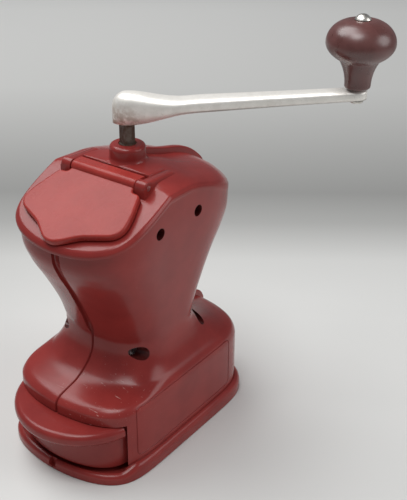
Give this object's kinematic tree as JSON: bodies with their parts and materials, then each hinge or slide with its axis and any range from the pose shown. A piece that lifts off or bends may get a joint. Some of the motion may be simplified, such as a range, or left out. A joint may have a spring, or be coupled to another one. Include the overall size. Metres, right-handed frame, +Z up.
{
  "type": "manual coffee grinder",
  "caption": "Hand-cranked table coffee grinder: waisted moulded housing with a hinged filler lid on top, conical burrs inside, a pull-out drawer below and a crank with a turning knob.",
  "frame": {"origin": "on the spindle axis, at the table that the grinder stands on", "axes": "+Z up along the spindle, -Y towards the drawer handle and the lid's lip, X across the seam of the two housing halves"},
  "size_m": [0.1703, 0.1548, 0.2498],
  "materials": {
    "housing": "semi-gloss moulded",
    "lid": "semi-gloss moulded",
    "drawer": "semi-gloss moulded",
    "knob": "gloss",
    "crank": "satin cast",
    "spindle": "browned",
    "rivet": "polished",
    "bush": "satin",
    "burrs": "ground",
    "steel": "satin"
  },
  "bodies": {
    "housing": {"body_left": "housing", "body_right": "housing", "lid_hinge_pin": "steel", "upper_bush": "bush", "burr_ring": "burrs", "bearing_bridge": "steel", "click_spring": "steel", "click_spring_rivet": "steel", "body_screws": "steel", "body_nuts": "steel"},
    "lid": {"lid": "lid"},
    "drawer": {"drawer": "drawer"},
    "lift": {"thrust_ball": "steel"},
    "adjuster": {"adjusting_screw": "steel"},
    "crank": {"drive_shaft": "spindle", "inner_burr": "burrs", "burr_pin": "steel", "crank_arm": "crank", "knob_rivet": "rivet"},
    "knob": {"knob": "knob"}
  },
  "joints": [
    {"name": "lid_hinge", "type": "hinge", "parent": "housing", "child": "lid", "pos_m": [0, -0.0185, 0.1622], "axis": [-1, 0, 0], "range_deg": [0, 95]},
    {"name": "drawer_slide", "type": "slide", "parent": "housing", "child": "drawer", "axis": [0, -1, 0], "range_m": [0, 0.1]},
    {"name": "burr_lift", "type": "slide", "parent": "housing", "child": "lift", "axis": [0, 0, 1], "range_m": [-0.001, 0.0003]},
    {"name": "adjuster_turn", "type": "hinge", "parent": "lift", "child": "adjuster", "pos_m": [0, 0, 0.045], "axis": [0, 0, 1], "range_deg": [-380, 120]},
    {"name": "crank_turn", "type": "hinge", "parent": "lift", "child": "crank", "pos_m": [0, 0, 0.19], "axis": [0, 0, 1], "continuous": true},
    {"name": "knob_spin", "type": "hinge", "parent": "crank", "child": "knob", "pos_m": [0.1065, 0.0531, 0.22], "axis": [0, 0, 1], "continuous": true}
  ],
  "couplings": [
    {"joint": "adjuster_turn", "follows": "burr_lift", "rad_per_m": 6283.2}
  ]
}
